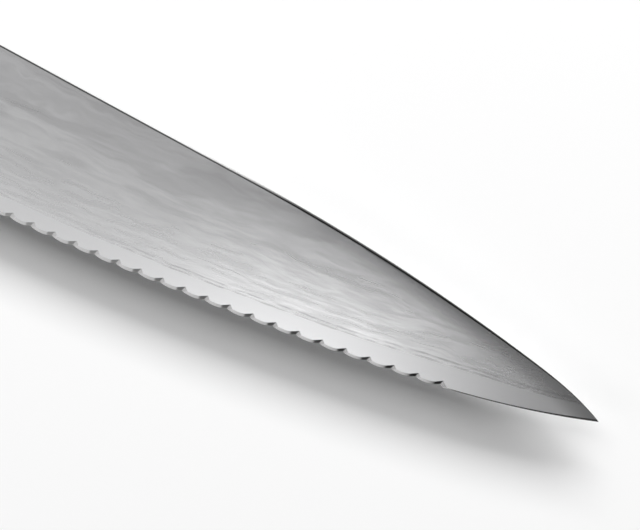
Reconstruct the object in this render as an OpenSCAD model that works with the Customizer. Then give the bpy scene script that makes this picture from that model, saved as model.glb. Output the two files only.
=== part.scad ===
// Serrated utility knife: a layered steel blade in a D-section handle.
// The knife lies on the flat left side of its handle, with the serrated right face up.
// +X runs to the tip, +Y to the spine and +Z up. The origin is on the rest face, under the
// middle of the grip.

/* [Blade] */
// Length of the edge, from the heel to the tip
blade_length = 150; // [125:1:180]
// Height of the blade at the heel, from the spine down to the edge
heel_height = 27.2; // [25:0.1:32]
// Thickness of the spine at the heel, and of the tang
spine_thickness = 2; // [1.6:0.1:2.6]
// Thickness of the blade just behind the edge
edge_thickness = 0.22; // [0.2:0.01:0.4]
// Length of edge that the grind's arc follows, from the heel
grind_length = 138; // [130:1:150]
// Share by which the ground faces are steeper at the edge, and flatter at the spine, than straight
grind_crown = 0.68; // [0.1:0.01:0.9]
// Drop of the tip below the straight part of the spine
tip_drop = 7.2; // [5:0.1:9]
// Length over which the spine curves down to the tip
spine_sweep = 66; // [40:1:90]
// Length at the tip over which the spine's curve tightens
point_length = 14; // [8:1:20]
// Extra drop of the spine over that length
point_drop = 1.1; // [0.5:0.1:1.5]
// Slope of the edge at the heel, in degrees
heel_angle = 1; // [0:0.25:2]
// Length at the tip over which the edge sweeps up
upsweep_length = 41; // [25:1:60]
// Extra rise of the edge over that length
upsweep_rise = 2.5; // [1.5:0.1:3.5]

/* [Serration] */
// Distance from notch to notch along the edge
tooth_pitch = 4.1; // [3:0.1:5]
// Distance from the edge up to the corner where a notch ends on the face
notch_reach = 1.22; // [0.9:0.01:1.6]
// Lean of the notches towards the tip
notch_lean = 33; // [0:1:45]
// Rise of a notch's valley from the edge to that corner, in degrees
notch_angle = 17; // [12:1:25]
// Slope of the wheel's rim on the side towards the heel
rear_wall = 21; // [10:1:30]
// Slope of the wheel's rim on the side towards the tip
front_wall = 3; // [0:1:10]
// Radius of the hollow beside the rim, which leaves a convex lobe
lobe_radius = 15; // [8:0.5:20]
// Angle of the lobes' ground bevel to the blade's middle plane
bevel_angle = 25; // [18:1:30]
// Angle of the narrow bevel on the plain edge
plain_angle = 45; // [25:1:60]
// Length of plain edge behind the tip
plain_tip = 24.65; // [15:0.05:40]
// Length of plain edge at the heel
plain_heel = 5; // [3:0.5:12]

/* [Neck and tang] */
// Length of the neck between the heel and the bolster
neck_length = 5; // [4:0.5:8]
// Height of the neck
neck_height = 14.8; // [13:0.1:15.5]
// Radius of the choil under the neck
choil_radius = 5; // [3:0.5:8]
// Depth to which the neck is seated in the bolster
neck_seat = 3; // [2:0.5:5]
// Height of the tang
tang_height = 11; // [8:0.5:12]
// Length of the tang behind the neck
tang_length = 34; // [25:1:45]
// Diameter of the rod that carries the tang on to the butt
rod_diameter = 4; // [3.6:0.1:6]
// Length over which the slotted rod laps the tang
rod_lap = 10; // [6:1:15]
// Clearance all round the tang, the rod and the spigot
fit_gap = 0.05; // [0.02:0.01:0.1]

/* [Handle] */
// Length of the wooden grip
grip_length = 95; // [85:1:115]
// Length of the bolster
bolster_length = 11; // [8:0.5:16]
// Length of the end cap that shows
cap_length = 5; // [4:0.5:10]
// Height of the D section at the blade
front_height = 21.5; // [20:0.1:24]
// Height of the D section at the butt
rear_height = 24; // [20:0.1:28]
// Thickness of the D section at the blade
front_depth = 15.4; // [14:0.1:19]
// Thickness of the D section at the butt
rear_depth = 17.2; // [14:0.1:21]
// Swell of the section half way along the handle
palm_swell = 0.8; // [0:0.1:1.5]
// Radius of the two corners beside the flat
flat_corner = 4.5; // [3:0.1:6]
// Inset of the bolster's front face from the handle's surface
bolster_taper = 0.8; // [0:0.1:1.2]
// Radius round the bolster's front face
bolster_round = 1.5; // [0.5:0.1:1.5]
// Radius round the end cap's rear face
cap_round = 2.2; // [1:0.1:3]
// Height of the blade's middle plane above the rest face
blade_lift = 7.6; // [6:0.1:9]
// Height of the spine above the handle's centre line
spine_rise = 7.4; // [6.5:0.1:7.6]
// Diameter of the end cap's spigot
spigot_diameter = 9; // [7:0.5:11]
// Length of the end cap's spigot
spigot_length = 6; // [4:0.5:10]
// Depth to which the rod is seated past the spigot, in the cap itself
rod_seat = 2; // [1:0.5:3]

/* [Hidden] */
$fn = 96;

grip_front = grip_length / 2;
grip_rear = -grip_length / 2;
handle_front = grip_front + bolster_length;
handle_rear = grip_rear - cap_length;
heel_x = handle_front + neck_length;
tang_front = handle_front - neck_seat;
tang_rear = tang_front - tang_length;
tang_y = spine_rise - neck_height / 2;

// The edge's rise from the heel to the tip is shared by a straight slope, a parabola along the
// whole belly and a cubic upsweep behind the tip
belly_rise = heel_height - tip_drop - blade_length * tan(heel_angle) - upsweep_rise;

// The ground faces run along an arc that follows the edge, so that the blade keeps its thickness
// there; each is convex, through a few shallow cones on the arc's axis
mean_slope = (spine_thickness - edge_thickness) / (2 * heel_height);
edge_slope = mean_slope * (1 + grind_crown);
spine_slope = mean_slope * (1 - grind_crown);
chord_x = grind_length / 2;
chord_y = (edge_y(0) + edge_y(grind_length)) / 2;
chord_angle = atan((edge_y(grind_length) - edge_y(0)) / grind_length);
chord_half = chord_x / cos(chord_angle);
chord_bow = (chord_y - edge_y(chord_x)) * cos(chord_angle);
grind_radius = (chord_half * chord_half / chord_bow + chord_bow) / 2;
grind_centre = [
    chord_x - (grind_radius - chord_bow) * sin(chord_angle),
    chord_y + (grind_radius - chord_bow) * cos(chord_angle)
];
// Cones on each face between the arc and the spine
grind_steps = 6;
// Share of the way to a sharp rim that the outer cone goes on below the arc
rim_share = 0.9;
// Sides of the cones, whose curve is slight over the blade's length
grind_sides = 256;

// Points along each curve of the blade's outline
curve_steps = 40;
// A notch's corner on the face, along the edge and above it from where its valley meets the
// left face
notch_height = half_thickness(notch_reach);
notch_run = (notch_height + edge_thickness / 2) / tan(notch_angle);
notch_corner = [notch_run * sin(notch_lean), notch_reach, notch_height];
first_notch = blade_length - plain_tip;
tooth_count = floor((first_notch - plain_heel) / tooth_pitch);
// Plain strokes of the wheel that finish the edge at the tip and at the heel
tip_strokes = ceil(plain_tip / tooth_pitch) + 1;
heel_strokes = ceil((first_notch - tooth_count * tooth_pitch) / tooth_pitch) + 1;
// Overlap of each stroke with the next, and half the width of a stroke
stroke_overlap = 0.12;
stroke_half = tooth_pitch / 2 + stroke_overlap;
// Length of a stroke along its groove, and its height above the bevel
stroke_length = 8;
stroke_height = 2;

// Steps round the dome and round each corner of the D section
dome_steps = 36;
corner_steps = 6;
// Stations along the grip, and along a rounded rim
grip_steps = 12;
rim_steps = 6;
// Cut past a surface that a slot or bore opens through
through = 1;

// Height of the edge, measured up from the spine's line, x from the heel
function edge_y(x) = -heel_height + x * tan(heel_angle) + belly_rise * pow(x / blade_length, 2)
    + upsweep_rise * pow(sweep_share(x, upsweep_length), 3);
function edge_angle(x) = atan(tan(heel_angle) + 2 * belly_rise * x / pow(blade_length, 2)
    + 3 * upsweep_rise / upsweep_length * pow(sweep_share(x, upsweep_length), 2));

// Height of the spine, which is straight and then curves down to the tip
function spine_y(x) = -(tip_drop - point_drop) * pow(sweep_share(x, spine_sweep), 2)
    - point_drop * pow(sweep_share(x, point_length), 3);

// Share of the last sweep_length of the blade that lies behind x
function sweep_share(x, sweep_length) = max(0, x - blade_length + sweep_length) / sweep_length;

// Side view of the blade and its neck, x from the heel and y from the spine's line
module blade_outline() {
    neck_rear = -neck_length - neck_seat;
    polygon([
        for (i = [0 : curve_steps]) let (x = blade_length * i / curve_steps) [x, edge_y(x)],
        for (i = [1 : curve_steps]) let (x = blade_length - spine_sweep * i / curve_steps)
            [x, spine_y(x)],
        [neck_rear, 0],
        [neck_rear, -neck_height],
        for (a = [90 : -15 : 0])
            [choil_radius * (cos(a) - 1), -neck_height + choil_radius * (sin(a) - 1)]
    ]);
}

// Half the blade's thickness at a height above the grind's arc
function half_thickness(height) = edge_thickness / 2 + edge_slope * height
    - (edge_slope - spine_slope) * pow(height, 2) / (2 * heel_height);

// Solid between the blade's two ground faces, thickened by extra
module ground_faces(extra = 0) {
    below = rim_share * edge_thickness / (2 * edge_slope);
    inside = grind_radius - heel_height;
    face = [
        [grind_radius + below, edge_thickness / 2 - edge_slope * below + extra],
        for (i = [0 : grind_steps]) let (height = heel_height * i / grind_steps)
            [grind_radius - height, half_thickness(height) + extra],
        [0, spine_thickness / 2 + spine_slope * inside + extra]
    ];
    translate(grind_centre)
        rotate_extrude($fn = grind_sides)
            polygon([
                each face,
                for (i = [len(face) - 1 : -1 : 0]) [face[i][0], -face[i][1]]
            ]);
}

// Section of the wheel that grinds the plain edge, above the bevel's plane at y = 0
module plain_wheel() {
    translate([-stroke_half, 0])
        square([2 * stroke_half, stroke_height]);
}

// The same with a hollow that leaves a convex lobe
module lobed_wheel() {
    lobe_fall = lobe_radius - sqrt(pow(lobe_radius, 2) - pow(stroke_half, 2));
    difference() {
        translate([-stroke_half, -lobe_fall])
            square([2 * stroke_half, lobe_fall + stroke_height]);
        translate([0, -lobe_radius])
            circle(r = lobe_radius);
    }
}

// The wheel's rim, which cuts a notch between two lobes: steep to the heel, shallow to the tip
module wheel_rim() {
    polygon([
        [0, 0],
        [stroke_half, stroke_half * tan(front_wall)],
        [stroke_half, stroke_height],
        [-stroke_half, stroke_height],
        [-stroke_half, stroke_half * tan(rear_wall)]
    ]);
}

// One stroke of a wheel through a point near the edge at x, leaning to the tip and rising
module stroke(x, point, lean, rise) {
    translate([x, edge_y(x), 0])
        rotate([0, 0, edge_angle(x)])
            translate(point)
                rotate([90 + rise, 0, -lean])
                    linear_extrude(stroke_length, center = true)
                        children();
}

module notch(x) {
    stroke(x, notch_corner, notch_lean, notch_angle) wheel_rim();
}

module lobe(x) {
    stroke(x, [0, 0, -edge_thickness / 2], 0, bevel_angle) lobed_wheel();
}

module plain_edge(x) {
    stroke(x, [0, 0, -edge_thickness / 2], 0, plain_angle) plain_wheel();
}

// All the strokes that sharpen the edge, from the right side only
module serration() {
    for (i = [0 : tooth_count])
        notch(first_notch - i * tooth_pitch);
    for (i = [0 : tooth_count - 1])
        lobe(first_notch - (i + 0.5) * tooth_pitch);
    for (i = [1 : tip_strokes])
        plain_edge(first_notch + (i - 0.5) * tooth_pitch);
    for (i = [1 : heel_strokes])
        plain_edge(first_notch - (tooth_count + i - 0.5) * tooth_pitch);
}

module blade() {
    color([0.78, 0.78, 0.79]) {
        translate([heel_x, spine_rise, blade_lift])
            difference() {
                intersection() {
                    linear_extrude(2 * spine_thickness, center = true)
                        blade_outline();
                    ground_faces();
                }
                serration();
            }
        translate([tang_rear, tang_y - tang_height / 2, blade_lift - spine_thickness / 2])
            cube([tang_length, tang_height, spine_thickness]);
    }
}

// Height and thickness of the handle's D section at x
function handle_share(x) = (handle_front - x) / (handle_front - handle_rear);
function handle_swell(x) = palm_swell * sin(180 * handle_share(x));
function section_height(x) =
    front_height + (rear_height - front_height) * handle_share(x) + handle_swell(x);
function section_depth(x) =
    front_depth + (rear_depth - front_depth) * handle_share(x) + handle_swell(x);

// D section at x, flat side down, drawn in from the handle's surface by inset
function d_section(x, inset) =
    let (
        half = section_height(x) / 2 - inset,
        corner = flat_corner - inset,
        dome = section_depth(x) - 2 * inset - corner
    ) [
        for (i = [0 : corner_steps]) let (a = -90 + 90 * i / corner_steps)
            [x, half - corner + corner * cos(a), flat_corner + corner * sin(a)],
        for (i = [1 : dome_steps - 1]) let (a = 180 * i / dome_steps)
            [x, half * cos(a), flat_corner + dome * sin(a)],
        for (i = [0 : corner_steps]) let (a = 180 + 90 * i / corner_steps)
            [x, -half + corner + corner * cos(a), flat_corner + corner * sin(a)]
    ];

// Solid through D sections, each given by its [x, inset], from the rear forwards
module handle_loft(stations) {
    rings = [for (s = stations) d_section(s[0], s[1])];
    size = len(rings[0]);
    last = len(rings) - 1;
    polyhedron(
        points = [for (r = rings) each r],
        faces = [
            [for (j = [0 : size - 1]) j],
            for (i = [0 : last - 1], j = [0 : size - 1]) let (k = (j + 1) % size)
                [i * size + j, (i + 1) * size + j, (i + 1) * size + k, i * size + k],
            [for (j = [size - 1 : -1 : 0]) last * size + j]
        ]
    );
}

// Stations of a rim of the given radius, from its start at 0 to its end at radius
function rim(radius) = [
    for (i = [0 : rim_steps]) let (a = 90 * i / rim_steps)
        [radius * sin(a), radius * (1 - cos(a))]
];

// Space for the tang, from x back to the tang's end
module tang_slot(x) {
    rear = tang_rear - fit_gap;
    height = tang_height + 2 * fit_gap;
    thickness = spine_thickness + 2 * fit_gap;
    translate([rear, tang_y - height / 2, blade_lift - thickness / 2])
        cube([x - rear, height, thickness]);
}

// Round rod or bore along the tang's line, from rear to front
module along_tang(rear, front, diameter) {
    translate([rear, tang_y, blade_lift])
        rotate([0, 90, 0])
            cylinder(h = front - rear, d = diameter);
}

module bolster() {
    straight = bolster_length - bolster_round;
    color([0.72, 0.72, 0.73])
        difference() {
            handle_loft([
                for (i = [0 : rim_steps - 1]) let (share = i / rim_steps)
                    [grip_front + straight * share, bolster_taper * pow(share, 2)],
                for (r = rim(bolster_round))
                    [handle_front - bolster_round + r[0], bolster_taper + r[1]]
            ]);
            tang_slot(handle_front);
            translate([heel_x, spine_rise, blade_lift])
                intersection() {
                    ground_faces(extra = fit_gap);
                    translate([
                        -neck_length - neck_seat,
                        -neck_height - fit_gap,
                        -spine_thickness
                    ])
                        cube([neck_seat + through, neck_height + 2 * fit_gap, 2 * spine_thickness]);
                }
        }
}

module grip() {
    color([0.16, 0.13, 0.12])
        difference() {
            handle_loft([
                for (i = [0 : grip_steps]) [grip_rear + grip_length * i / grip_steps, 0]
            ]);
            tang_slot(grip_front + through);
            along_tang(grip_rear, tang_rear + rod_lap + fit_gap, rod_diameter + 2 * fit_gap);
            along_tang(
                grip_rear - through,
                grip_rear + spigot_length + fit_gap,
                spigot_diameter + 2 * fit_gap
            );
        }
}

module tang_rod() {
    slot = spine_thickness + 2 * fit_gap;
    color([0.66, 0.66, 0.68])
        difference() {
            along_tang(grip_rear - rod_seat, tang_rear + rod_lap, rod_diameter);
            translate([tang_rear, tang_y - rod_diameter, blade_lift - slot / 2])
                cube([rod_lap + through, 2 * rod_diameter, slot]);
        }
}

module end_cap() {
    color([0.72, 0.72, 0.73])
        difference() {
            union() {
                handle_loft([
                    for (i = [rim_steps : -1 : 0]) let (r = rim(cap_round)[i])
                        [handle_rear + cap_round - r[0], r[1]],
                    [grip_rear, 0]
                ]);
                along_tang(grip_rear, grip_rear + spigot_length, spigot_diameter);
            }
            along_tang(
                grip_rear - rod_seat,
                grip_rear + spigot_length + through,
                rod_diameter + 2 * fit_gap
            );
        }
}

blade();
bolster();
grip();
tang_rod();
end_cap();
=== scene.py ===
"""A serrated utility knife: its finished meshes and materials, a pale floor, lamps and a camera."""

import math

import bpy
import numpy as np
from mathutils import Matrix, Vector


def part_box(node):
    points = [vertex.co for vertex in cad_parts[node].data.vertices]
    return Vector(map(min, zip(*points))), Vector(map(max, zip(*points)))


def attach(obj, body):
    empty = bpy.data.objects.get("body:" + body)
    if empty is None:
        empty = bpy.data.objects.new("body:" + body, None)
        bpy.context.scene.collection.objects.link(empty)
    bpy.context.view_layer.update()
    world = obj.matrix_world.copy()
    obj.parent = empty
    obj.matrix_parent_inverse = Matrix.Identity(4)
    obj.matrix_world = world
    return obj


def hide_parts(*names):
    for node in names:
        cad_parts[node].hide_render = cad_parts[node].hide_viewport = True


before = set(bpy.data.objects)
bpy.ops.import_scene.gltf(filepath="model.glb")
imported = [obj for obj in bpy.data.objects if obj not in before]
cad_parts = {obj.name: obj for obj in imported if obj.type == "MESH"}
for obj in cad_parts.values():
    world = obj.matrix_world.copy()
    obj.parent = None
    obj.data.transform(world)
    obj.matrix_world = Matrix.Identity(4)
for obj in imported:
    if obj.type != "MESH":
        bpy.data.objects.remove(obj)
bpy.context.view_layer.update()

MM = 0.001

# Sizes of the solid blade, in millimetres, x from the heel and y from the spine's line
BLADE_LENGTH = 150.0
HEEL_HEIGHT = 27.2
SPINE_THICKNESS = 2.0
EDGE_THICKNESS = 0.22
GRIND_CROWN = 0.68
TIP_DROP = 7.2
SPINE_SWEEP = 66.0
POINT_LENGTH = 14.0
POINT_DROP = 1.1
HEEL_SLOPE = math.tan(math.radians(1.0))
UPSWEEP_LENGTH = 41.0
UPSWEEP_RISE = 2.5
TOOTH_PITCH = 4.1
NOTCH_REACH = 1.22
NOTCH_ANGLE = math.radians(17.0)
NOTCH_LEAN = math.radians(33.0)
REAR_WALL = math.radians(21.0)
FRONT_WALL = math.radians(3.0)
LOBE_RADIUS = 15.0
BEVEL_ANGLE = math.radians(25.0)
TIP_BEVEL_ANGLE = math.radians(45.0)
GRIND_LENGTH = 138.0
PLAIN_TIP = 24.65
PLAIN_HEEL = 5.0
NECK_LENGTH = 5.0
NECK_HEIGHT = 14.8
NECK_SEAT = 3.0
CHOIL_RADIUS = 5.0

# Sizes of the solid handle, in millimetres
FRONT_HEIGHT = 21.5
REAR_HEIGHT = 24.0
FRONT_DEPTH = 15.4
REAR_DEPTH = 17.2
PALM_SWELL = 0.8
FLAT_CORNER = 4.5
BOLSTER_TAPER = 0.8
BOLSTER_ROUND = 1.5
CAP_ROUND = 2.2

# Where the frame has the pieces
BLADE_LOW, BLADE_HIGH = (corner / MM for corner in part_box("blade"))
GRIP_LOW, GRIP_HIGH = (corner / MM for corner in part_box("grip"))
BOLSTER_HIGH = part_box("bolster")[1] / MM
CAP_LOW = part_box("end_cap")[0] / MM
HEEL_X = BLADE_HIGH.x - BLADE_LENGTH
SPINE_Y = BLADE_HIGH.y
BLADE_Z = (BLADE_LOW.z + BLADE_HIGH.z) / 2

# Radius to which the spine's corners are eased, and its greatest share of the thickness there
EASED_RADIUS = 0.25
EASED_SHARE = 0.45
# The crown of the spine beside the tip
CROWN_WIDTH = 3.2
CROWN_DEPTH = 0.16
# Radius of the fine rounding where two pieces of the handle meet
SEAM_RADIUS = 0.15


def sweep_share(x, sweep_length):
    """Share of the last sweep_length of the blade that lies behind x."""
    return np.maximum(0.0, x - BLADE_LENGTH + sweep_length) / sweep_length


BELLY_RISE = HEEL_HEIGHT - TIP_DROP - BLADE_LENGTH * HEEL_SLOPE - UPSWEEP_RISE


def edge_y(x):
    """Height of the edge before the notches are cut."""
    return (-HEEL_HEIGHT + x * HEEL_SLOPE + BELLY_RISE * (x / BLADE_LENGTH) ** 2
            + UPSWEEP_RISE * sweep_share(x, UPSWEEP_LENGTH) ** 3)


def edge_angle(x):
    """Angle of that edge to the spine's line, in radians."""
    return np.arctan(HEEL_SLOPE + 2 * BELLY_RISE * x / BLADE_LENGTH ** 2
                     + 3 * UPSWEEP_RISE / UPSWEEP_LENGTH * sweep_share(x, UPSWEEP_LENGTH) ** 2)


def spine_y(x):
    """Height of the spine, straight and then curved down to the tip."""
    return (-(TIP_DROP - POINT_DROP) * sweep_share(x, SPINE_SWEEP) ** 2
            - POINT_DROP * sweep_share(x, POINT_LENGTH) ** 3)


def edge_arc():
    """Centre and radius of the arc that the grind follows, which meets the edge three times."""
    heel, end = edge_y(0.0), edge_y(GRIND_LENGTH)
    angle = math.atan((end - heel) / GRIND_LENGTH)
    half = GRIND_LENGTH / 2 / math.cos(angle)
    middle = Vector((GRIND_LENGTH / 2, (heel + end) / 2))
    bow = float(middle.y - edge_y(middle.x)) * math.cos(angle)
    radius = (half * half / bow + bow) / 2
    return middle + Vector((-math.sin(angle), math.cos(angle))) * (radius - bow), radius


ARC_CENTRE, ARC_RADIUS = edge_arc()
MEAN_SLOPE = (SPINE_THICKNESS - EDGE_THICKNESS) / (2 * HEEL_HEIGHT)


def half_thickness(height):
    """Half the thickness of the blade at a height above the grind's arc; its faces are convex."""
    at_edge = MEAN_SLOPE * (1 + GRIND_CROWN)
    bend = MEAN_SLOPE * GRIND_CROWN / HEEL_HEIGHT
    return EDGE_THICKNESS / 2 + at_edge * height - bend * height ** 2


def face_z(x, y):
    """Height of the ground right face above the blade's middle plane."""
    return half_thickness(ARC_RADIUS - np.hypot(x - ARC_CENTRE.x, y - ARC_CENTRE.y))


def crown_drop(x, below_spine):
    """How far the face falls away towards the spine, which is crowned more and more to the tip."""
    share = np.maximum(0.0, 1 - below_spine / CROWN_WIDTH)
    return CROWN_DEPTH * sweep_share(x, SPINE_SWEEP) * share ** 2


# The notch nearest the tip, how many lobes lie behind it, and the corner where a notch runs out
FIRST_NOTCH = BLADE_LENGTH - PLAIN_TIP
TOOTH_COUNT = math.floor((FIRST_NOTCH - PLAIN_HEEL) / TOOTH_PITCH)
NOTCH_HEIGHT = half_thickness(NOTCH_REACH)
NOTCH_SHIFT = (NOTCH_HEIGHT + EDGE_THICKNESS / 2) / math.tan(NOTCH_ANGLE) * math.sin(NOTCH_LEAN)
# How far neighbouring lobes reach past the middle of the notch between them
LOBE_OVERLAP = 0.05


def edge_frame(x, y, centre):
    """Place of (x, y) along the edge at centre, and square to it."""
    angle = edge_angle(centre)
    dx, dy = x - centre, y - edge_y(centre)
    return dx * np.cos(angle) + dy * np.sin(angle), dy * np.cos(angle) - dx * np.sin(angle)


def tip_bevel_z(x, y):
    """Height of the narrow bevel of the plain edge."""
    up = (y - edge_y(x)) * np.cos(edge_angle(x))
    return up * math.tan(TIP_BEVEL_ANGLE) - EDGE_THICKNESS / 2


def lobe_z(x, y, centre):
    """Height of the bowed bevel between two notches."""
    along, up = edge_frame(x, y, centre)
    depth = LOBE_RADIUS - np.sqrt(np.maximum(LOBE_RADIUS ** 2 - along ** 2, 0.0))
    height = up * math.tan(BEVEL_ANGLE) - EDGE_THICKNESS / 2 - depth / math.cos(BEVEL_ANGLE)
    return np.where(np.abs(along) < TOOTH_PITCH / 2 + LOBE_OVERLAP, height, np.inf)


def notch_z(x, y, centre):
    """Height of the V that the wheel's rim leaves, from the edge up to where it runs out."""
    along, up = edge_frame(x, y, centre)
    along, up = along - NOTCH_SHIFT, up - NOTCH_REACH
    across = along * math.cos(NOTCH_LEAN) - up * math.sin(NOTCH_LEAN)
    run = along * math.sin(NOTCH_LEAN) + up * math.cos(NOTCH_LEAN)
    wall = np.where(across < 0, -across * math.tan(REAR_WALL), across * math.tan(FRONT_WALL))
    return NOTCH_HEIGHT + run * math.tan(NOTCH_ANGLE) + wall / math.cos(NOTCH_ANGLE)


def bevel_z(x, y):
    """Height above the blade's middle plane of the serrated edge, ground from the right side."""
    height = tip_bevel_z(x, y)
    nearest = np.rint((FIRST_NOTCH - x) / TOOTH_PITCH)
    for offset in (-1.0, 0.0, 1.0):
        step = nearest + offset
        notch = notch_z(x, y, FIRST_NOTCH - step * TOOTH_PITCH)
        height = np.where((step >= 0) & (step <= TOOTH_COUNT), np.minimum(height, notch), height)
        lobe = lobe_z(x, y, FIRST_NOTCH - (step + 0.5) * TOOTH_PITCH)
        height = np.where((step >= 0) & (step < TOOTH_COUNT), np.minimum(height, lobe), height)
    return height


# Heights round the edge's line between which the bevel meets the faces, and how many are tried
SEARCH_LOW, SEARCH_HIGH, SEARCH_COUNT = -0.3, 3.2, 220


def crossings(x, surface, other):
    """For each x, the lowest height y at which surface(x, y) rises past other(x, y)."""
    xs = np.repeat(x[:, None], SEARCH_COUNT, axis=1)
    ys = edge_y(xs) + np.linspace(SEARCH_LOW, SEARCH_HIGH, SEARCH_COUNT)
    gap = surface(xs, ys) - other(xs, ys)
    first = np.maximum(np.argmax(gap >= 0, axis=1), 1)
    rows = np.arange(len(x))
    low, high = gap[rows, first - 1], gap[rows, first]
    share = np.clip(-low / (high - low), 0.0, 1.0)
    return ys[rows, first - 1] + share * (ys[rows, first] - ys[rows, first - 1])


# Angle above which an edge of the blade, and of the handle, is sharp
BLADE_CREASE = math.radians(11.0)
HANDLE_CREASE = math.radians(30.0)


def mesh_object(name, vertices, faces, materials, crease, face_materials=None):
    """A smooth-shaded mesh, creased at its sharp lines; vertices are in millimetres."""
    mesh = bpy.data.meshes.new(name)
    mesh.from_pydata([tuple(v) for v in np.asarray(vertices) * MM], [], faces)
    for material in materials:
        mesh.materials.append(material)
    if face_materials is not None:
        mesh.polygons.foreach_set("material_index", face_materials)
    mesh.validate()
    mesh.polygons.foreach_set("use_smooth", [True] * len(mesh.polygons))
    mesh.set_sharp_from_angle(angle=crease)
    piece = bpy.data.objects.new(name, mesh)
    bpy.context.scene.collection.objects.link(piece)
    return piece


# Rows of the blade's mesh, as shares of the way up the bevel and up each face, and the steps round
# each corner of its spine and round the choil
BEVEL_SHARES = [0.0, 0.18, 0.36, 0.52, 0.66, 0.77, 0.85, 0.91, 0.96]
BEVEL_ROWS = len(BEVEL_SHARES)
FACE_SHARES = [0.0, 0.03, 0.08, 0.14, 0.2, 0.28, 0.36, 0.45, 0.54, 0.63, 0.72, 0.8, 0.87, 0.93,
               0.97]
EASE_STEPS = 4
CHOIL_STEPS = 16
# Least height of the rows at the very tip
LEAST_ROW = 0.01
# Where the choil leaves the heel
CHOIL_TOP = -NECK_HEIGHT - CHOIL_RADIUS
TOLERANCE = 1e-6
# Columns of the mesh: about the foot of each notch, as places from it, and between two notches
NOTCH_COLUMNS = np.arange(-0.2, 1.4, 0.06)
LOBE_COLUMNS = 16
HEEL_COLUMNS = 30
# Columns along the plain edge, which begin past the last notch's and end before the tip
PLAIN_COLUMNS = 70
PLAIN_BEGINS = 0.25
PLAIN_ENDS = 1.0
# Last columns, as distances from the tip
POINT_COLUMNS = np.geomspace(0.9, 0.02, 14)
# Materials of the blade, by their place in its list
FACE, BEVEL, SPINE = 0, 1, 2


def mirrored(rows):
    """The same rows on the left side, down from the spine."""
    return [(y, -z) for y, z in reversed(rows)]


def spine_ring(x, top):
    """Points round the eased spine at x, from the right face to the left, as (y, z) rows."""
    thickness = face_z(x, top) - crown_drop(x, 0.0)
    radius = np.minimum(EASED_RADIUS, EASED_SHARE * thickness)
    corner = []
    for step in range(EASE_STEPS + 1):
        angle = math.pi / 2 * step / EASE_STEPS
        corner.append((top - radius * (1 - math.sin(angle)),
                       thickness - radius * (1 - math.cos(angle))))
    return corner + mirrored(corner)


def blade_stations():
    """Places of the cross sections from the heel to the tip, closest where the edge is serrated."""
    feet = FIRST_NOTCH - np.arange(TOOTH_COUNT + 1) * TOOTH_PITCH
    near = feet[::-1, None] + NOTCH_COLUMNS
    between = np.linspace(NOTCH_COLUMNS[-1], TOOTH_PITCH + NOTCH_COLUMNS[0], LOBE_COLUMNS + 2)[1:-1]
    lobes = feet[:0:-1, None] + between
    heel = np.linspace(0.0, near[0, 0], HEEL_COLUMNS)[:-1]
    serrated = np.sort(np.concatenate([heel, near.ravel(), lobes.ravel()]))
    plain = np.linspace(serrated[-1] + PLAIN_BEGINS, BLADE_LENGTH - PLAIN_ENDS, PLAIN_COLUMNS)
    return np.concatenate([serrated, plain, BLADE_LENGTH - POINT_COLUMNS])


def blade_rows(x):
    """Rows of the ring at every x, as (y, z), from the edge up the right face and down the left.

    One row of each face starts where the choil leaves the heel, for the neck to join it.
    """
    top = spine_y(x)
    edge = crossings(x, bevel_z, lambda a, b: -face_z(a, b))
    shoulder = crossings(x, bevel_z, face_z)
    edge = np.minimum(edge, top - 2 * LEAST_ROW)
    shoulder = np.minimum(shoulder, top - LEAST_ROW)
    at_choil = (CHOIL_TOP - shoulder[0]) / (top[0] - shoulder[0])
    shares = np.array(FACE_SHARES)
    shares[np.argmin(np.abs(shares - at_choil))] = at_choil
    bevel = [(edge, -face_z(x, edge))]
    for share in BEVEL_SHARES[1:]:
        y = edge + (shoulder - edge) * share
        bevel.append((y, np.minimum(bevel_z(x, y), face_z(x, y))))
    face = []
    for share in shares:
        y = shoulder + (top - shoulder) * share
        face.append((y, face_z(x, y) - crown_drop(x, top - y)))
    return bevel + face + spine_ring(x, top) + mirrored(face)


def ring_faces(first, second, size):
    """Quads between two closed rings of vertices."""
    return [(first + j, second + j, second + (j + 1) % size, first + (j + 1) % size)
            for j in range(size)]


def make_blade(face_steel, bevel_steel, spine_steel):
    """The blade with its serrated bevel, eased spine and neck."""
    x = blade_stations()
    rows = blade_rows(x)
    size = len(rows)
    points = np.stack([np.stack([x, y, z], axis=1) for y, z in rows], axis=1)
    vertices = list(points.reshape(-1, 3))
    faces, kinds = [], []
    spine_first = BEVEL_ROWS + len(FACE_SHARES)
    spine_last = spine_first + 2 * EASE_STEPS + 1
    for i in range(len(x) - 1):
        faces += ring_faces(i * size, (i + 1) * size, size)
        kinds += [BEVEL if j < BEVEL_ROWS else SPINE if spine_first <= j < spine_last else FACE
                  for j in range(size)]
    faces.append(tuple(range((len(x) - 1) * size, len(x) * size)))
    kinds.append(SPINE)
    add_neck(vertices, faces, kinds, points[0])
    vertices = np.array(vertices) + np.array([HEEL_X, SPINE_Y, BLADE_Z])
    return mesh_object("blade_forged", vertices, faces, [face_steel, bevel_steel, spine_steel],
                       BLADE_CREASE, kinds)


def choil_curve():
    """Places (x, y) along the neck's lower edge: the choil's quarter circle, then straight."""
    turns = np.linspace(0.0, math.pi / 2, CHOIL_STEPS + 1)[1:]
    curve = [(-CHOIL_RADIUS * (1 - math.cos(turn)), CHOIL_TOP + CHOIL_RADIUS * math.sin(turn))
             for turn in turns]
    return curve + [(-NECK_LENGTH - NECK_SEAT, -NECK_HEIGHT)]


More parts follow.
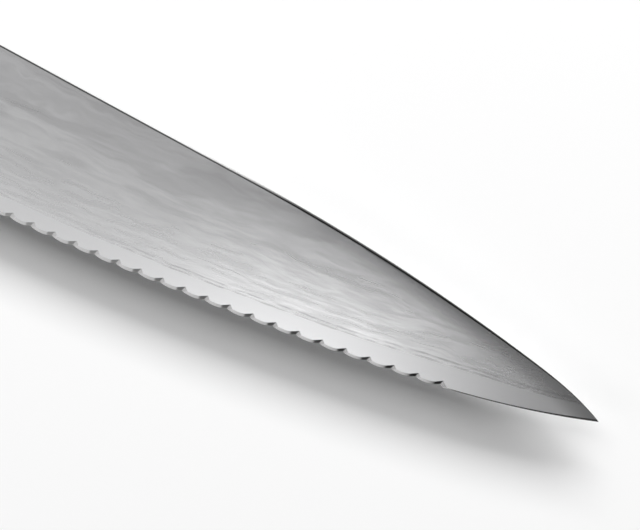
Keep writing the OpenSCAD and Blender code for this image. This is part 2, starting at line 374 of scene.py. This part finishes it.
def add_neck(vertices, faces, kinds, heel):
    """Closes the heel and runs the neck, with the choil under it, back into the bolster."""
    ring = [j for j, point in enumerate(heel)
            if j >= BEVEL_ROWS and point[1] > CHOIL_TOP - TOLERANCE]
    faces.append(tuple(range(ring[-1], len(heel))) + tuple(range(ring[0] + 1)))
    kinds.append(SPINE)
    template = [heel[j][1:] for j in ring]
    for x, low in choil_curve():
        first = len(vertices)
        for y, z in template:
            height = low * y / CHOIL_TOP
            eased = abs(z) / face_z(0.0, y) if y > -EASED_RADIUS else 1.0
            vertices.append(np.array([x, height, math.copysign(eased * face_z(x, height), z)]))
        new_ring = list(range(first, first + len(ring)))
        for j in range(len(ring)):
            k = (j + 1) % len(ring)
            faces.append((new_ring[j], ring[j], ring[k], new_ring[k]))
            at_spine = min(template[j][0], template[k][0]) > -EASED_RADIUS
            kinds.append(SPINE if k == 0 or at_spine else FACE)
        ring = new_ring
    faces.append(tuple(ring))
    kinds.append(SPINE)


# Points on each small corner of the D section, round its dome and along its flat
CORNER_POINTS = 12
DOME_POINTS = 64
FLAT_POINTS = 8
# Steps round each seam, round the bolster's front and round the cap's rear
SEAM_STEPS = 4
BOLSTER_STEPS = 10
CAP_STEPS = 12
# Stations along the grip and along the cap, and shares of the bolster's taper
GRIP_STATIONS = 40
CAP_STATIONS = 6
TAPER_SHARES = np.linspace(0.05, 0.98, 16)


def handle_share(x):
    """Share of the handle that lies in front of x."""
    return (BOLSTER_HIGH.x - x) / (BOLSTER_HIGH.x - CAP_LOW.x)


def handle_section(x, inset):
    """D section of the handle at x, drawn in by inset, as (y, z) points round it."""
    share = handle_share(x)
    swell = PALM_SWELL * math.sin(math.pi * share)
    half = (FRONT_HEIGHT + (REAR_HEIGHT - FRONT_HEIGHT) * share + swell) / 2 - inset
    depth = FRONT_DEPTH + (REAR_DEPTH - FRONT_DEPTH) * share + swell
    corner = FLAT_CORNER - inset
    dome = depth - 2 * inset - corner
    points = [(half - corner + corner * math.cos(a), FLAT_CORNER + corner * math.sin(a))
              for a in np.linspace(-math.pi / 2, 0, CORNER_POINTS, endpoint=False)]
    points += [(half * math.cos(a), FLAT_CORNER + dome * math.sin(a))
               for a in np.linspace(0, math.pi, DOME_POINTS)]
    points += [(-half + corner + corner * math.cos(a), FLAT_CORNER + corner * math.sin(a))
               for a in np.linspace(math.pi, 1.5 * math.pi, CORNER_POINTS + 1)[1:]]
    flat = np.linspace(-half + corner, half - corner, FLAT_POINTS + 2)[1:-1]
    return points + [(y, inset) for y in flat]


def rounding(start, end, radius, steps):
    """Stations of a rim rounded by radius, from start to the end face at end."""
    direction = math.copysign(1.0, end - start)
    return [(end - direction * radius * (1 - math.sin(a)), radius * (1 - math.cos(a)))
            for a in np.linspace(0, math.pi / 2, steps)]


def make_handle_piece(name, stations, material):
    """A closed loft through D sections, each given by its (x, inset)."""
    vertices, faces = [], []
    for x, inset in stations:
        vertices += [(x, y, z) for y, z in handle_section(x, inset)]
    size = len(vertices) // len(stations)
    for i in range(len(stations) - 1):
        faces += ring_faces((i + 1) * size, i * size, size)
    faces.append(tuple(range(size - 1, -1, -1)))
    faces.append(tuple(range((len(stations) - 1) * size, len(stations) * size)))
    return mesh_object(name, vertices, faces, [material], HANDLE_CREASE)


def make_grip(material):
    """The wooden grip, its two ends eased where it meets the steel."""
    rear, front = GRIP_LOW.x, GRIP_HIGH.x
    stations = rounding(front, rear, SEAM_RADIUS, SEAM_STEPS)[::-1]
    stations += [(x, 0.0) for x in np.linspace(rear + SEAM_RADIUS, front - SEAM_RADIUS,
                                               GRIP_STATIONS)[1:-1]]
    stations += rounding(rear, front, SEAM_RADIUS, SEAM_STEPS)
    return make_handle_piece("grip_turned", stations, material)


def make_bolster(material):
    """The steel collar, which narrows to a rounded front face."""
    rear, front = GRIP_HIGH.x, BOLSTER_HIGH.x
    straight = front - rear - BOLSTER_ROUND
    stations = rounding(front, rear, SEAM_RADIUS, SEAM_STEPS)[::-1]
    stations += [(rear + straight * share, BOLSTER_TAPER * share ** 2) for share in TAPER_SHARES]
    stations += [(x, BOLSTER_TAPER + inset)
                 for x, inset in rounding(rear, front, BOLSTER_ROUND, BOLSTER_STEPS)]
    return make_handle_piece("bolster_polished", stations, material)


def make_cap(material):
    """The butt cap with its rounded rim."""
    rear, front = CAP_LOW.x, GRIP_LOW.x
    stations = rounding(front, rear, CAP_ROUND, CAP_STEPS)[::-1]
    stations += [(x, 0.0) for x in np.linspace(rear + CAP_ROUND, front - SEAM_RADIUS,
                                               CAP_STATIONS)[1:-1]]
    stations += rounding(rear, front, SEAM_RADIUS, SEAM_STEPS)
    return make_handle_piece("end_cap_polished", stations, material)


class Shader:
    """Builds the nodes of a material or a world; an input is a value or another node's output."""

    def __init__(self, owner):
        self.owner = owner
        owner.use_nodes = True
        self.tree = owner.node_tree
        self.tree.nodes.clear()

    def add(self, kind, inputs=None, **settings):
        """A new node with its settings and inputs."""
        node = self.tree.nodes.new(kind)
        for key, value in settings.items():
            setattr(node, key, value)
        for key, value in (inputs or {}).items():
            if isinstance(value, bpy.types.NodeSocket):
                self.tree.links.new(value, node.inputs[key])
            else:
                node.inputs[key].default_value = value
        return node

    def math(self, operation, *values):
        """The result of a Math node."""
        return self.add("ShaderNodeMath", dict(enumerate(values)), operation=operation).outputs[0]

    def times(self, first, second):
        """The product of two numbers."""
        return self.math("MULTIPLY", first, second)

    def plus(self, first, second):
        """The sum of two numbers."""
        return self.math("ADD", first, second)

    def linear(self, value, slope, start):
        """A number that is start where the value is 0, and grows by slope with it."""
        return self.math("MULTIPLY_ADD", value, slope, start)

    def scaled(self, vector, factor):
        """A vector or colour times a number."""
        return self.add("ShaderNodeVectorMath", {0: vector, "Scale": factor},
                        operation="SCALE").outputs[0]

    def stretched(self, vector, factors):
        """A vector times a factor along each axis."""
        return self.add("ShaderNodeVectorMath", {0: vector, 1: factors},
                        operation="MULTIPLY").outputs[0]

    def combine(self, x, y, z):
        """A vector from three numbers."""
        return self.add("ShaderNodeCombineXYZ", {"X": x, "Y": y, "Z": z}).outputs[0]

    def split(self, vector):
        """The X, Y and Z of a vector."""
        return self.add("ShaderNodeSeparateXYZ", {0: vector}).outputs

    def noise(self, vector, detail=2.0, roughness=0.5):
        """Noise from about 0 to 1, with one feature to a unit of the vector."""
        return self.add("ShaderNodeTexNoise", {"Vector": vector, "Scale": 1.0, "Detail": detail,
                                               "Roughness": roughness}).outputs["Fac"]

    def centred_noise(self, vector, amount, **settings):
        """Noise about zero, from about minus to plus amount."""
        return self.linear(self.noise(vector, **settings), 2 * amount, -amount)

    def step(self, value, low, high):
        """0 below low, 1 above high and smooth between them."""
        return self.add("ShaderNodeMapRange", {"Value": value, "From Min": low, "From Max": high},
                        interpolation_type="SMOOTHSTEP").outputs["Result"]

    def ramp(self, value, stops):
        """A grey from a smooth curve through (place, level) stops."""
        node = self.add("ShaderNodeValToRGB", {"Fac": value})
        node.color_ramp.interpolation = "EASE"
        elements = node.color_ramp.elements
        while len(elements) < len(stops):
            elements.new(0.5)
        for element, (place, level) in zip(elements, stops):
            element.position = place
            element.color = (level, level, level, 1.0)
        return node.outputs["Color"]

    def dimmed(self, level, share, cut):
        """A level with cut of it taken away where share is 1."""
        return self.times(level, self.linear(share, -cut, 1.0))

    def bump(self, height, distance):
        """A normal from a height, which is 0 to 1 over distance in metres."""
        return self.add("ShaderNodeBump", {"Height": height, "Distance": distance,
                                           "Strength": 1.0}).outputs[0]

    def finish(self, **inputs):
        """Ends the tree in a Principled shader with these inputs, and returns the material."""
        named = {key.replace("_", " ").title().replace("Ior", "IOR"): value
                 for key, value in inputs.items()}
        principled = self.add("ShaderNodeBsdfPrincipled", named)
        self.add("ShaderNodeOutputMaterial", {"Surface": principled.outputs[0]})
        return self.owner

    def place(self):
        """The object's own coordinates, in millimetres."""
        return self.scaled(self.add("ShaderNodeTexCoord").outputs["Object"], 1 / MM)

    def facing(self):
        """Which way the surface faces, in the object's own directions: X, Y and Z."""
        return self.split(self.add("ShaderNodeTexCoord").outputs["Normal"])

    def edge_height(self, place):
        """Height above the arc that follows the edge, in millimetres."""
        flat = self.stretched(place, (1.0, 1.0, 0.0))
        centre = (ARC_CENTRE.x + HEEL_X, ARC_CENTRE.y + SPINE_Y, 0.0)
        distance = self.add("ShaderNodeVectorMath", {0: flat, 1: centre},
                            operation="DISTANCE").outputs["Value"]
        return self.math("SUBTRACT", ARC_RADIUS, distance)


# Height of the plain core above the edge, and the span of the frame's x, in millimetres, over which
# the line along it turns from lighter to darker than the steel
CORE_HEIGHT = 3.15
LINE_TURNS = (102.0, 150.0)
# Span of x over which the spine begins to be painted near black towards the tip, a painted dark
# reflection
PAINTED_DARK_TIP_BEGINS = (128.0, 158.0)


def layered_steel():
    """Steel folded in layers round a plain core, which the grinding lays open along the edge."""
    s = Shader(bpy.data.materials.new("layered_steel"))
    place = s.place()
    x, _, z = s.split(place)
    depth = s.times(z, 6.0)
    height = s.edge_height(place)

    def spot(along, level, across):
        """Place in a noise with so many features to a millimetre along the blade and across it."""
        return s.combine(s.times(x, along), s.times(level, across), depth)

    # The layers lie level with the edge, and wave more and more towards the spine
    slow = s.centred_noise(spot(0.03, height, 0.09), 1.0)
    quick = s.centred_noise(spot(0.2, height, 0.35), 1.0)
    layer = s.plus(height, s.times(slow, s.linear(height, 0.13, 0.25)))
    layer = s.plus(layer, s.times(quick, s.linear(height, 0.05, 0.3)))

    # Broad bands near the spine, fine streaks near the edge
    bands = s.ramp(s.noise(spot(0.03, layer, 0.5)),
                   [(0.34, 0.0), (0.44, 0.4), (0.54, 0.6), (0.64, 1.0)])
    streaks = s.ramp(s.noise(spot(0.14, layer, 1.5), detail=1.5), [(0.34, 0.0), (0.66, 1.0)])
    spineward = s.step(height, 7.0, 17.0)
    pattern = s.plus(s.times(bands, s.linear(spineward, 0.6, 0.15)),
                     s.times(streaks, s.linear(spineward, -0.25, 0.5)))
    patches = s.times(s.step(s.noise(spot(0.05, layer, 0.2), detail=2.5), 0.49, 0.58),
                      s.step(height, 6.0, 14.0))

    # The ragged line where the layers end and the plain core begins
    ragged = s.centred_noise(s.combine(s.times(x, 0.12), 0.0, depth), 0.5, detail=5.0,
                             roughness=0.6)
    above_core = s.math("SUBTRACT", s.plus(height, ragged), CORE_HEIGHT)
    cladding = s.step(above_core, -0.08, 0.12)

    def seam(offset, row):
        """A thin line at an offset above the core, which comes and goes along the blade."""
        line = s.math("SUBTRACT", s.step(above_core, offset - 0.2, offset),
                      s.step(above_core, offset + 0.05, offset + 0.25))
        comes = s.noise(s.combine(s.times(x, 0.3), row, 0.0), detail=3.0)
        return s.times(line, s.step(comes, 0.35, 0.6))

    line = s.times(s.plus(seam(0.0, 3.0), seam(0.55, 7.0)),
                   s.linear(s.step(x, *LINE_TURNS), -0.32, 0.06))

    # Darker towards the spine: partly the etched layers' own tone and partly painted shade standing
    # in for the face's light gradient
    etched_and_painted_shade = s.dimmed(s.linear(s.step(height, 2.0, 26.0), -0.12, 0.67), patches, 0.1)
    etched_and_painted_shade = s.times(etched_and_painted_shade, s.linear(pattern, 0.17, 0.9))
    level = s.add("ShaderNodeMix", {0: cladding, 2: 0.7, 3: etched_and_painted_shade}, data_type="FLOAT").outputs[0]
    level = s.times(level, s.plus(line, 1.0))
    relief = s.noise(s.stretched(place, (0.6, 2.5, 2.5)))
    return s.finish(base_color=s.scaled((1.0, 1.0, 1.01), level), metallic=1.0,
                    roughness=s.linear(s.times(cladding, pattern), -0.05, 0.28),
                    normal=s.bump(relief, 1e-6))


def ground_steel():
    """The freshly ground bevel, with painted shade on the notches' walls that face the tip and a
    painted dark reflection along the plain tip.
    """
    s = Shader(bpy.data.materials.new("ground_steel"))
    place = s.place()
    lines = s.noise(s.stretched(place, (9.0, 2.0, 2.0)))
    last_notch = HEEL_X + FIRST_NOTCH
    # Painted dark reflection: the bevel along the plain tip is made darker
    plain = s.step(s.split(place)["X"], last_notch, last_notch + 3.0)
    # Painted shade: the notches' walls that face the tip are made darker
    painted_shade_notch_walls = s.step(s.facing()["X"], 0.1, 0.25)
    level = s.dimmed(s.dimmed(s.linear(lines, 0.1, 0.64), plain, 0.8), painted_shade_notch_walls, 0.55)
    return s.finish(base_color=s.scaled((1.0, 1.0, 1.0), level), metallic=1.0, roughness=0.2)


def spine_steel():
    """Spine, heel and choil: polished, with a painted dark reflection on the corners and painted
    near black, not metal, towards the tip.
    """
    s = Shader(bpy.data.materials.new("spine_steel"))
    place = s.place()
    lines = s.noise(s.stretched(place, (0.3, 6.0, 6.0)), detail=3.0)
    # Painted dark reflection: where the spine's eased corners turn towards the faces they are made
    # darker
    corner = s.step(s.math("ABSOLUTE", s.facing()["Z"]), 0.1, 0.3)
    # Painted dark reflection: towards the tip the spine is painted near black and made not metal
    painted_dark_tip = s.step(s.split(place)["X"], *PAINTED_DARK_TIP_BEGINS)
    level = s.linear(lines, 0.1, s.linear(corner, -0.75, 0.85))
    return s.finish(base_color=s.scaled((1.0, 1.0, 1.0), s.dimmed(level, painted_dark_tip, 0.98)),
                    roughness=s.linear(painted_dark_tip, 0.3, 0.1),
                    metallic=s.math("SUBTRACT", 1.0, painted_dark_tip), specular_ior_level=0.1)


def satin_steel():
    """Bolster and cap, brushed round the handle."""
    s = Shader(bpy.data.materials.new("satin_steel"))
    place = s.place()
    lines = s.noise(s.stretched(place, (14.0, 0.25, 0.25)), detail=3.0, roughness=0.6)
    cloud = s.noise(s.scaled(place, 0.2))
    level = s.linear(lines, 0.07, 0.6)
    rough = s.plus(s.linear(lines, 0.12, 0.2), s.times(cloud, 0.05))
    return s.finish(base_color=s.scaled((1.0, 1.0, 1.0), level), metallic=1.0, roughness=rough,
                    normal=s.bump(lines, 4e-6))


def dark_wood():
    """Resin-filled wood, near black, with a fine figure along the grip."""
    s = Shader(bpy.data.materials.new("dark_wood"))
    place = s.place()
    x, y, z = s.split(place)
    across = s.plus(y, s.centred_noise(s.stretched(place, (0.03, 0.12, 0.12)), 2.0))

    def spot(along, through):
        """Place in a noise with so many features to a millimetre along the grain and across it."""
        return s.combine(s.times(x, along), s.times(across, through), s.times(z, through))

    rings = s.noise(spot(0.02, 0.9), detail=3.0)
    pores = s.noise(spot(0.25, 5.0), roughness=0.7)
    figure = s.ramp(rings, [(0.35, 0.0), (0.5, 0.5), (0.65, 1.0)])
    colour = s.add("ShaderNodeMix", {0: figure, 6: (0.02, 0.014, 0.012, 1.0),
                                     7: (0.075, 0.05, 0.038, 1.0)}, data_type="RGBA").outputs[2]
    return s.finish(base_color=s.scaled(colour, s.ramp(pores, [(0.35, 0.35), (0.5, 1.0)])),
                    roughness=s.linear(pores, 0.14, 0.3),
                    coat_weight=0.25, coat_roughness=0.2, normal=s.bump(pores, 1e-5))


# Half the floor's side, in metres, and the light that it gives off for the eye and the steel
FLOOR_HALF = 3.0
FLOOR_LIFT = 0.02
# Brightness of the room that the steel reflects. Its walls are white, and each row of ROOM gives an
# axis, the level that takes over along it, and the parts of a direction where it begins and is full
WALL_LEVEL = 1.0
ROOM = (
    ("Z", 0.17, 0.45, 0.85),  # ceiling
    ("X", 0.03, -0.1, 0.08),  # dark wall past the tip
    ("X", 0.5, 0.4, 0.6),  # its lower part
    ("Y", 0.5, 0.0, 0.2),  # wall behind the spine
)
# Light that the room gives to what isn't steel
WORLD_LEVEL = 0.06


def floor_material():
    """White floor that keeps its shadow, lifted for the eye and for what the steel reflects."""
    s = Shader(bpy.data.materials.new("white_floor"))
    diffuse = s.add("ShaderNodeBsdfDiffuse", {"Color": (0.89, 0.89, 0.89, 1.0)})
    path = s.add("ShaderNodeLightPath").outputs
    seen = s.math("MAXIMUM", path["Is Camera Ray"], path["Is Glossy Ray"])
    seen = s.math("MAXIMUM", seen, path["Is Transmission Ray"])
    glow = s.add("ShaderNodeEmission", {"Color": (1.0, 1.0, 1.0, 1.0),
                                        "Strength": s.times(seen, FLOOR_LIFT)})
    both = s.add("ShaderNodeAddShader", {0: diffuse.outputs[0], 1: glow.outputs[0]})
    s.add("ShaderNodeOutputMaterial", {"Surface": both.outputs[0]})
    return s.owner


def make_floor():
    """A wide plain floor under the knife."""
    mesh = bpy.data.meshes.new("floor")
    corners = [(-1, -1), (1, -1), (1, 1), (-1, 1)]
    mesh.from_pydata([(x * FLOOR_HALF, y * FLOOR_HALF, 0.0) for x, y in corners], [],
                     [(0, 1, 2, 3)])
    mesh.materials.append(floor_material())
    floor = bpy.data.objects.new("floor", mesh)
    bpy.context.scene.collection.objects.link(floor)


def make_world():
    """A room of pale walls and a dim ceiling for the steel to reflect, and white for the eye."""
    world = bpy.data.worlds.new("studio")
    bpy.context.scene.world = world
    s = Shader(world)

    def level(source, low, high, begins=0.0, ends=1.0):
        """A level from low to high, while the source goes from where it begins to where it ends."""
        return s.add("ShaderNodeMapRange", {"Value": source, "From Min": begins, "From Max": ends,
                                            "To Min": low, "To Max": high}).outputs["Result"]

    direction = s.split(s.add("ShaderNodeTexCoord").outputs["Generated"])
    room = WALL_LEVEL
    for axis, wall, begins, ends in ROOM:
        room = level(direction[axis], room, wall, begins, ends)
    path = s.add("ShaderNodeLightPath").outputs
    reflected = s.math("MAXIMUM", path["Is Glossy Ray"], path["Is Transmission Ray"])
    strength = level(path["Is Camera Ray"], level(reflected, WORLD_LEVEL, room), 1.0)
    background = s.add("ShaderNodeBackground", {"Strength": strength})
    s.add("ShaderNodeOutputWorld", {"Surface": background.outputs[0]})
    world.cycles.sampling_method = "NONE"


# Cards overhead, in metres: their height, and then two corners of each and its radiance
CARD_HEIGHT = 0.4
CARDS = {
    "bright_card": ((0.014, -0.246), (0.094, -0.099), 2.42),
    "dim_card": ((-0.2, -0.17), (0.0, 0.01), 0.6),
    "low_card": ((-0.2, -0.29), (0.01, -0.17), 0.95),
}
# Lamps beyond the spine, in metres: what they point at, how far they stand from it, and their width
KEY_TARGET = Vector((0.1, 0.0, 0.0))
KEY_SHIFT = -0.22
KEY_DISTANCE = 1.8
KEY_WIDTH = 1.4
# Elevation of each, half the angle that it spans upwards, and its radiance
KEYS = {
    "key": (math.radians(35.0), math.radians(9.0), 15.0),
    "fill": (math.radians(59.0), math.radians(15.0), 3.8),
}


def add_softbox(name, place, target, size, radiance):
    """An area lamp at place, turned to target, its radiance in W per m2 and steradian."""
    lamp = bpy.data.lights.new(name, "AREA")
    lamp.shape = "RECTANGLE"
    lamp.size, lamp.size_y = size
    lamp.energy = radiance * size[0] * size[1] * math.pi
    softbox = bpy.data.objects.new(name, lamp)
    turn = (place - target).to_track_quat("Z", "Y").to_matrix().to_4x4()
    softbox.matrix_world = Matrix.Translation(place) @ turn
    bpy.context.scene.collection.objects.link(softbox)
    return softbox


def add_card(name, low, high, radiance):
    """A card overhead between two corners, which the blade's face mirrors."""
    low, high = Vector(low), Vector(high)
    middle, size = (low + high) / 2, high - low
    place, below = (Vector((middle.x, middle.y, height)) for height in (CARD_HEIGHT, 0.0))
    add_softbox(name, place, below, size, radiance)


def add_key(name, elevation, spread, radiance):
    """A softbox beyond the spine, which lights the knife and isn't mirrored in it."""
    place = KEY_TARGET + Vector((KEY_SHIFT, KEY_DISTANCE * math.cos(elevation),
                                 KEY_DISTANCE * math.sin(elevation)))
    size = (KEY_WIDTH, 2 * KEY_DISTANCE * math.tan(spread))
    softbox = add_softbox(name, place, KEY_TARGET, size, radiance)
    softbox.visible_glossy = False


# The photograph's view
CAMERA_TARGET = Vector((162.8, 0.71, 7.6)) * MM
CAMERA_DIRECTION = Vector((0.2969, 0.1634, 0.9408))
CAMERA_RIGHT = Vector((0.8372, 0.4293, -0.3388))
CAMERA_DISTANCE = 0.4
SENSOR_WIDTH = 36.0
LENS = 142.9


def make_camera():
    """A camera above the tip, a little to the spine's side, with the horizon turned."""
    data = bpy.data.cameras.new("camera")
    data.sensor_width = SENSOR_WIDTH
    data.lens = LENS
    data.clip_start = 0.01
    camera = bpy.data.objects.new("camera", data)
    back = CAMERA_DIRECTION.normalized()
    right = (CAMERA_RIGHT - CAMERA_RIGHT.dot(back) * back).normalized()
    up = back.cross(right)
    turn = Matrix((right, up, back)).transposed().to_4x4()
    camera.matrix_world = Matrix.Translation(CAMERA_TARGET + back * CAMERA_DISTANCE) @ turn
    bpy.context.scene.collection.objects.link(camera)
    bpy.context.scene.camera = camera


make_camera()
make_world()
make_floor()
for name, settings in KEYS.items():
    add_key(name, *settings)
for name, settings in CARDS.items():
    add_card(name, *settings)

satin = satin_steel()
blade = make_blade(layered_steel(), ground_steel(), spine_steel())
grip = make_grip(dark_wood())
bolster = make_bolster(satin)
cap = make_cap(satin)
for piece, node, slot in ((blade, "blade", "layered_steel"), (grip, "grip", "dark_wood"),
                          (bolster, "bolster", "satin_steel"), (cap, "end_cap", "satin_steel")):
    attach(piece, "root")
    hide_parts(node)
# The rod, inside the handle, keeps its solid's mesh
rod_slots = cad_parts["tang_rod"].data.materials
rod_slots[0] = satin

bpy.context.scene.view_settings.view_transform = "Standard"
